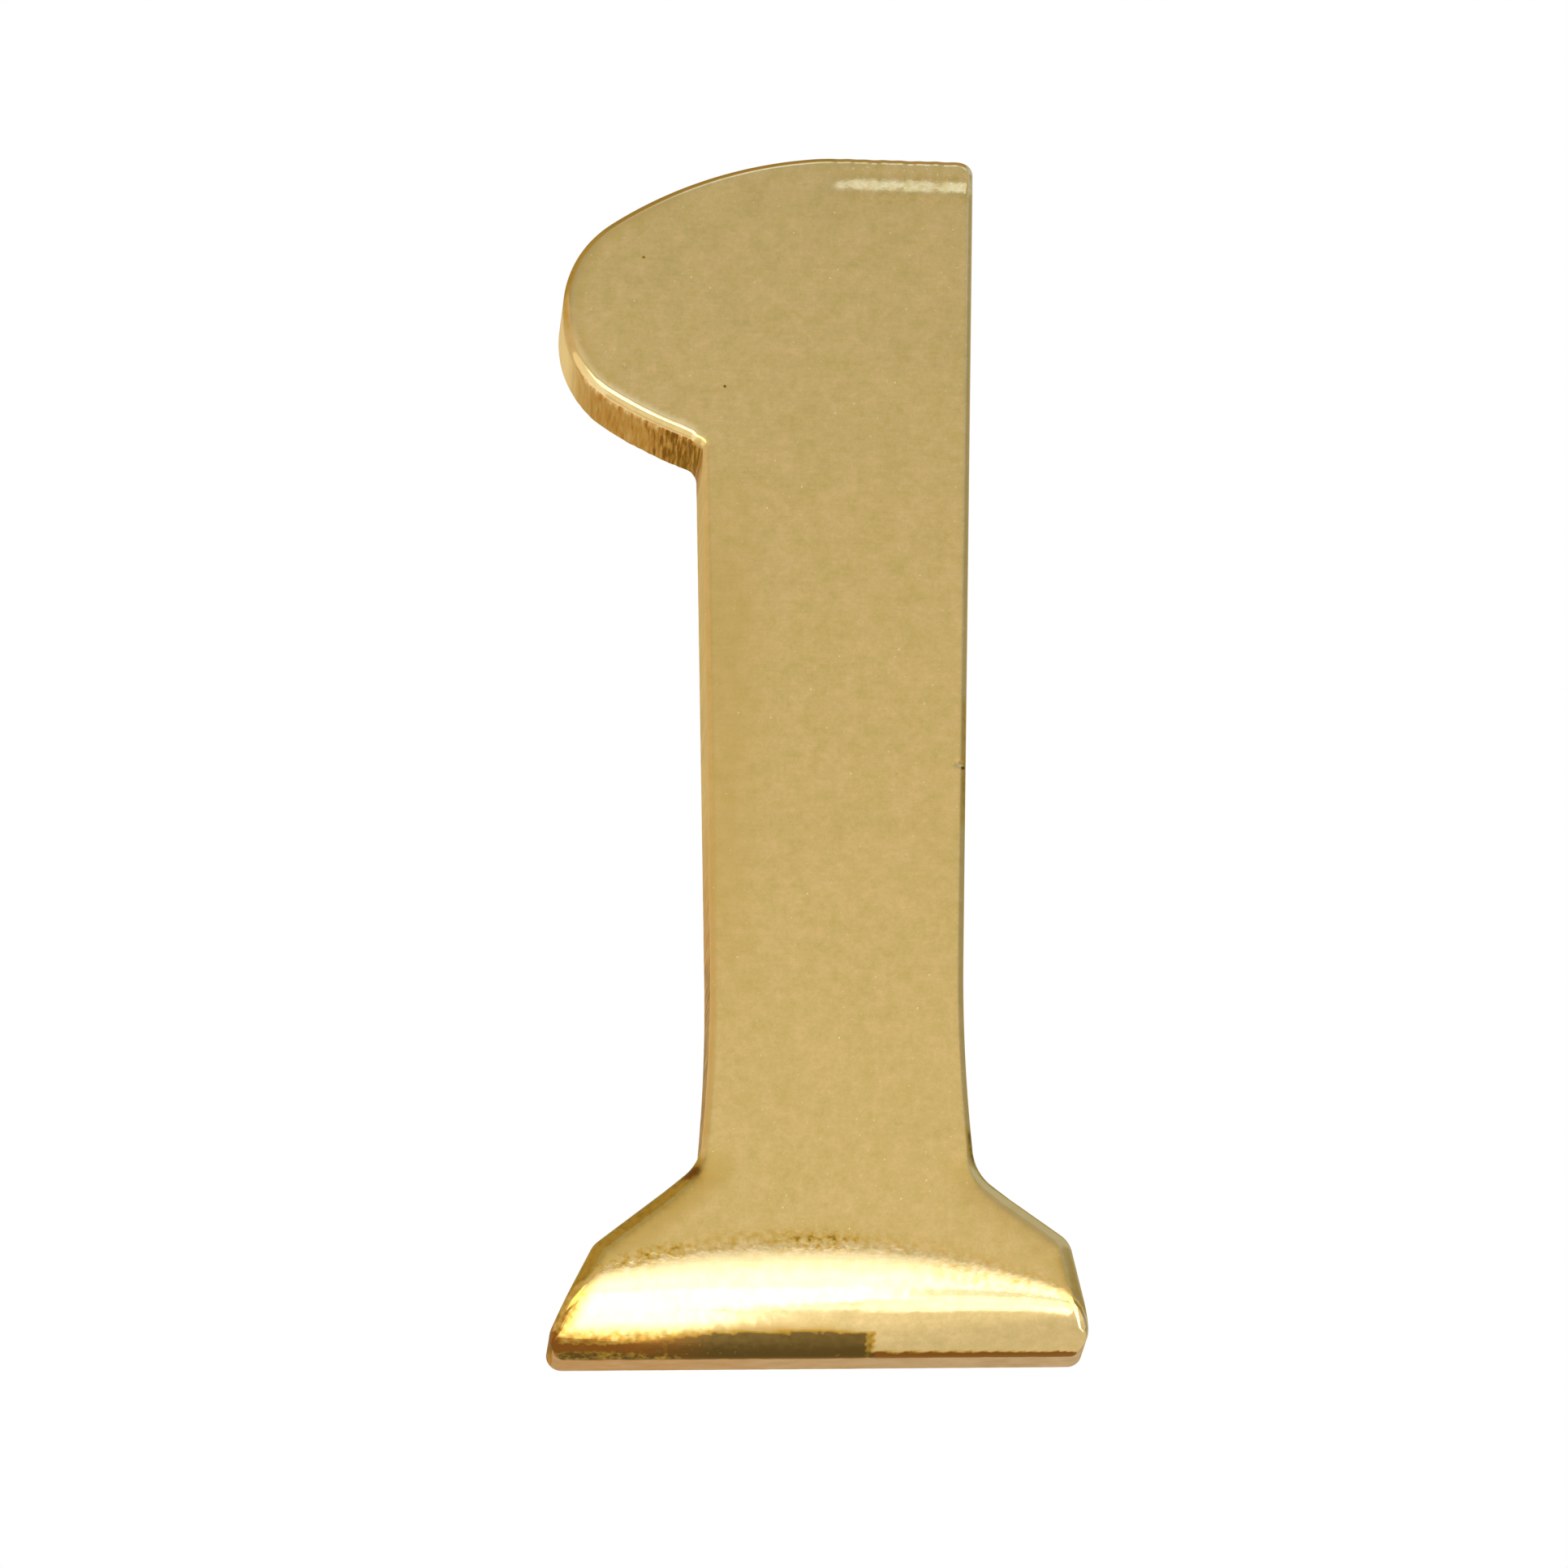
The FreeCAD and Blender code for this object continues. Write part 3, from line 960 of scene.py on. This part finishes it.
def buffed_brass():
    finish = Finish("brass_buffed")
    finish.shader.inputs["Specular Tint"].default_value = (0.95, 0.84, 0.62, 1)
    mottling = finish.noise((0.8, 0.8, 0.8), 4, 0.85)
    flat_colour = finish.ramp(mottling, (0.496, 0.364, 0.108), (0.640, 0.440, 0.176))
    rolled_colour = finish.ramp(mottling, (0.530, 0.430, 0.200), (0.670, 0.510, 0.280))
    colour = finish.blend(finish.look("polish_and_painted_sheen"), flat_colour, rolled_colour)
    specks = finish.step(finish.noise((0.24, 0.24, 0.24), 1), 0.72, 0.79)
    flat_specks = finish.combine("MULTIPLY", specks, finish.step(finish.look("polish_and_painted_sheen"), 0.5, 0))
    colour = finish.over(colour, flat_specks, PALE)
    broken = finish.spread(finish.noise((0.45, 0.4, 0.4), 2), -0.25, 0.95)
    flecks = finish.combine("MULTIPLY", finish.look("flecks"), broken)
    uneven = finish.spread(finish.noise((0.4, 0.4, 0.4), 3), 0.7, 1.3)
    tarnish_and_shade = finish.combine("MAXIMUM", finish.tarnish_and_shade(uneven), flecks)
    brown = finish.lay_tarnish_and_shade(colour, tarnish_and_shade, AMBER, BROWN)
    flat_roughness = finish.spread(finish.noise((2.5, 2.5, 2.5), 3), 0.17, 0.23)
    rolled_roughness = finish.spread(finish.noise((1.5, 1.5, 1.5), 3), 0.07, 0.11)
    brown_roughness = finish.spread(finish.noise((0.4, 0.4, 0.4), 3), 0.16, 0.28)
    bright_roughness = finish.between(finish.look("polish_and_painted_sheen"), flat_roughness, rolled_roughness)
    finish.roughness(finish.between(brown, bright_roughness, brown_roughness))
    finish.bump(
        (finish.noise((0.9, 0.9, 0.9), 1), 0.006),
        (finish.noise((2.5, 0.25, 0.25), 2), 0.003),
        (finish.noise((0.32, 0.28, 0.28), 2), 0.04, finish.look("flecks")),
    )
    return finish.material


def filed_brass():
    finish = Finish("brass_filed")
    colour = finish.ramp(finish.noise((0.5, 6, 0.5), 3), (0.50, 0.35, 0.13), (0.62, 0.45, 0.18))
    # On the walls the second look paints the wall round the nose paler, a painted highlight.
    colour = finish.over(colour, finish.look("polish_and_painted_sheen"), PALE)
    streaks = finish.spread(finish.noise((0.18, 4, 0.18), 3), 0.2, 1.8)
    finish.lay_tarnish_and_shade(colour, finish.tarnish_and_shade(streaks), WALL_AMBER, WALL_BROWN)
    finish.shader.inputs["Specular Tint"].default_value = (0.85, 0.70, 0.42, 1)
    finish.roughness(finish.spread(finish.noise((0.4, 3, 0.4), 2), 0.32, 0.48))
    finish.bump((finish.noise((0.25, 9, 0.25), 2), 0.02))
    return finish.material


def lip_brass():
    finish = Finish("brass_lip")
    colour = finish.ramp(finish.noise((1.6, 0.8, 0.8), 3), (0.46, 0.31, 0.15), (0.58, 0.41, 0.23))
    uneven = finish.spread(finish.noise((1.2, 0.5, 0.5), 3), 0.5, 1.5)
    finish.lay_tarnish_and_shade(colour, finish.tarnish_and_shade(uneven), WALL_AMBER, WALL_BROWN)
    finish.shader.inputs["Specular Tint"].default_value = (0.95, 0.85, 0.68, 1)
    finish.roughness(finish.spread(finish.noise((0.6, 0.4, 0.4), 2), 0.32, 0.44))
    finish.bump((finish.noise((2.0, 0.12, 0.12), 2), 0.012))
    return finish.material


def linished_brass():
    finish = Finish("brass_linished")
    colour = finish.ramp(finish.noise((5, 5, 12), 3), (0.52, 0.36, 0.13), (0.60, 0.42, 0.16))
    finish.link(colour, finish.shader.inputs["Base Color"])
    finish.roughness(finish.spread(finish.noise((0.3, 1, 6), 2), 0.28, 0.40))
    finish.bump((finish.noise((0.15, 1, 12), 2), 0.008))
    return finish.material


def tapped_brass():
    finish = Finish("brass_tapped")
    colour = finish.ramp(finish.noise((0.8, 0.8, 0.8), 2), (0.50, 0.33, 0.10), (0.60, 0.42, 0.15))
    finish.link(colour, finish.shader.inputs["Base Color"])
    finish.roughness(finish.spread(finish.noise((0.5, 0.5, 0.5), 2), 0.22, 0.32))
    finish.bump((finish.noise((0.3, 0.05, 0.3), 1), 0.004))
    return finish.material


def build_numeral():
    skin = Skin()
    edge, edge_y = build_front(skin)
    rim_numbers, rim = build_walls(skin, edge, edge_y)
    build_back(skin, rim_numbers, rim)
    mesh = bpy.data.meshes.new("numeral")
    mesh.from_pydata((np.array(skin.points) * MM).tolist(), [], skin.faces)
    for material in (buffed_brass(), filed_brass(), lip_brass(), linished_brass(), tapped_brass()):
        mesh.materials.append(material)
    mesh.polygons.foreach_set("material_index", skin.finishes)
    for name, values in zip(LOOKS, np.array(skin.looks).T):
        mesh.attributes.new(name, "FLOAT", "POINT").data.foreach_set("value", values)
    mesh.shade_smooth()
    mesh.set_sharp_from_angle(angle=SHARP_ANGLE)
    mesh.update()
    numeral = bpy.data.objects.new("numeral", mesh)
    bpy.context.scene.collection.objects.link(numeral)
    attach(numeral, "root")
    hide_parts(NODE)


def direction(azimuth, elevation):
    """Unit vector; azimuth 0 points to the front and turns towards +X."""
    a, e = math.radians(azimuth), math.radians(elevation)
    return Vector((math.sin(a) * math.cos(e), -math.cos(a) * math.cos(e), math.sin(e)))


def softbox(name, centre, azimuths, elevations, distance, radiance):
    """An area lamp that fills the given angles as seen from a point of the numeral."""
    lamp = bpy.data.lights.new(name, "AREA")
    lamp.shape = "RECTANGLE"
    middle = [(azimuths[0] + azimuths[1]) / 2, (elevations[0] + elevations[1]) / 2]
    half_width = math.radians(azimuths[1] - azimuths[0]) / 2 * math.cos(math.radians(middle[1]))
    half_height = math.radians(elevations[1] - elevations[0]) / 2
    lamp.size = 2 * distance * MM * math.tan(half_width)
    lamp.size_y = 2 * distance * MM * math.tan(half_height)
    lamp.energy = max(radiance) * lamp.size * lamp.size_y * LAMP_WATTS
    lamp.color = [part / max(radiance) for part in radiance]
    obj = bpy.data.objects.new(name, lamp)
    bpy.context.scene.collection.objects.link(obj)
    obj.location = (centre + direction(*middle) * distance) * MM
    obj.rotation_euler = direction(*middle).to_track_quat("Z", "Y").to_euler()
    return obj


def sheet(name, corners, material):
    mesh = bpy.data.meshes.new(name)
    mesh.from_pydata([Vector(corner) * MM for corner in corners], [], [range(len(corners))])
    mesh.materials.append(material)
    obj = bpy.data.objects.new(name, mesh)
    bpy.context.scene.collection.objects.link(obj)
    return obj


def glow(name, radiance):
    """A plain glowing material and its emission node."""
    material = bpy.data.materials.new(name)
    material.use_nodes = True
    tree = material.node_tree
    emission = tree.nodes.new("ShaderNodeEmission")
    emission.inputs["Color"].default_value = (*(part / max(radiance) for part in radiance), 1)
    emission.inputs["Strength"].default_value = max(radiance)
    tree.links.new(emission.outputs["Emission"], tree.nodes["Material Output"].inputs["Surface"])
    return material, emission


def card(name, corners, radiance):
    """A card that only shows in the metal's reflections."""
    obj = sheet(name, corners, glow(name, radiance)[0])
    obj.visible_camera = False
    obj.visible_diffuse = False
    obj.visible_shadow = False
    return obj


def fading_card(name, corners, radiance, axis, span, least):
    """A card that fades along an axis from its full radiance to the least strength."""
    obj = card(name, corners, radiance)
    material, emission = glow(name + "_fading", radiance)
    obj.data.materials[0] = material
    tree = material.node_tree
    place = tree.nodes.new("ShaderNodeTexCoord")
    split = tree.nodes.new("ShaderNodeSeparateXYZ")
    tree.links.new(place.outputs["Object"], split.inputs["Vector"])
    scale = tree.nodes.new("ShaderNodeMapRange")
    scale.inputs["From Min"].default_value = span[0] * MM
    scale.inputs["From Max"].default_value = span[1] * MM
    scale.inputs["To Min"].default_value = max(radiance)
    scale.inputs["To Max"].default_value = least
    tree.links.new(split.outputs[axis], scale.inputs["Value"])
    tree.links.new(scale.outputs["Result"], emission.inputs["Strength"])


def level_card(name, seen_corners, radiance):
    """A level card below the foot, whose corners the foot sees at the given azimuths and elevations."""
    corners = []
    for seen in seen_corners:
        ray = direction(*seen)
        corners.append(FOOT_CENTRE - ray * (LEVEL_DROP / ray.z))
    card(name, corners, radiance)


def rectangle(axis, place, first, second):
    """Corners of a rectangle across an axis, from its place along it and its spans along the other two."""
    corners = []
    for a, b in zip((first[0], first[1], first[1], first[0]), np.repeat(second, 2)):
        corner = [a, b]
        corner.insert("xyz".index(axis), place)
        corners.append(corner)
    return corners


def build_floor():
    material = bpy.data.materials.new("floor_paper")
    material.use_nodes = True
    shader = material.node_tree.nodes["Principled BSDF"]
    shader.inputs["Base Color"].default_value = (FLOOR_GREY, FLOOR_GREY, FLOOR_GREY, 1)
    shader.inputs["Roughness"].default_value = FLOOR_ROUGHNESS
    span = (-FLOOR_SIZE / 2, FLOOR_SIZE / 2)
    sheet("floor", rectangle("z", low_corner.z / MM - FLOOR_DROP, span, span), material)


def build_cards():
    for name, *place, radiance, fade_axis, fade_span, least in FADING_CARDS:
        fading_card(name, rectangle(*place), radiance, fade_axis, fade_span, least)
    for name, *place, radiance in CARDS:
        card(name, rectangle(*place), radiance)
    for name, seen_corners, radiance in LEVEL_CARDS:
        level_card(name, seen_corners, radiance)
    card("card_foot_left", [(x, y, NEAR_Z) for x, y in NEAR_CORNERS], NEAR_RADIANCE)
    nose = [FLAG_NOSE + direction(*seen) * NOSE_DISTANCE for seen in NOSE_CORNERS]
    card("card_nose", nose, NOSE_RADIANCE)


def build_lamps():
    key = softbox("key", FOOT_CENTRE, *KEY_LAMP)
    key.visible_glossy = False
    softbox("top_strip", TOP_CENTRE, *TOP_LAMP)


def build_world():
    """White where it is seen or mirrored, and a softer light on the floor."""
    world = bpy.data.worlds.new("studio")
    bpy.context.scene.world = world
    world.use_nodes = True
    tree = world.node_tree
    seen = tree.nodes["Background"]
    seen.inputs["Color"].default_value = (1, 1, 1, 1)
    seen.inputs["Strength"].default_value = 1
    unseen = tree.nodes.new("ShaderNodeBackground")
    unseen.inputs["Color"].default_value = (1, 1, 1, 1)
    unseen.inputs["Strength"].default_value = FLOOR_LIGHT
    path = tree.nodes.new("ShaderNodeLightPath")
    total = path.outputs["Is Camera Ray"]
    for name in ("Is Glossy Ray", "Is Transmission Ray"):
        add = tree.nodes.new("ShaderNodeMath")
        add.operation = "MAXIMUM"
        tree.links.new(total, add.inputs[0])
        tree.links.new(path.outputs[name], add.inputs[1])
        total = add.outputs["Value"]
    mix = tree.nodes.new("ShaderNodeMixShader")
    tree.links.new(total, mix.inputs["Fac"])
    tree.links.new(unseen.outputs["Background"], mix.inputs[1])
    tree.links.new(seen.outputs["Background"], mix.inputs[2])
    tree.links.new(mix.outputs["Shader"], tree.nodes["World Output"].inputs["Surface"])


def build_camera():
    data = bpy.data.cameras.new("camera")
    data.sensor_width = 36
    data.lens = FOCAL_PIXELS / PHOTO_SIDE * data.sensor_width
    data.clip_end = 100
    camera = bpy.data.objects.new("camera", data)
    bpy.context.scene.collection.objects.link(camera)
    back = Vector((-math.sin(CAMERA_YAW) * math.cos(CAMERA_PITCH),
                   -math.cos(CAMERA_YAW) * math.cos(CAMERA_PITCH),
                   -math.sin(CAMERA_PITCH)))
    camera.location = (CAMERA_TARGET + back * CAMERA_DISTANCE) * MM
    camera.rotation_euler = back.to_track_quat("Z", "Y").to_euler()
    bpy.context.scene.camera = camera


build_numeral()
build_floor()
build_cards()
build_lamps()
build_world()
build_camera()
bpy.context.scene.view_settings.view_transform = "Standard"
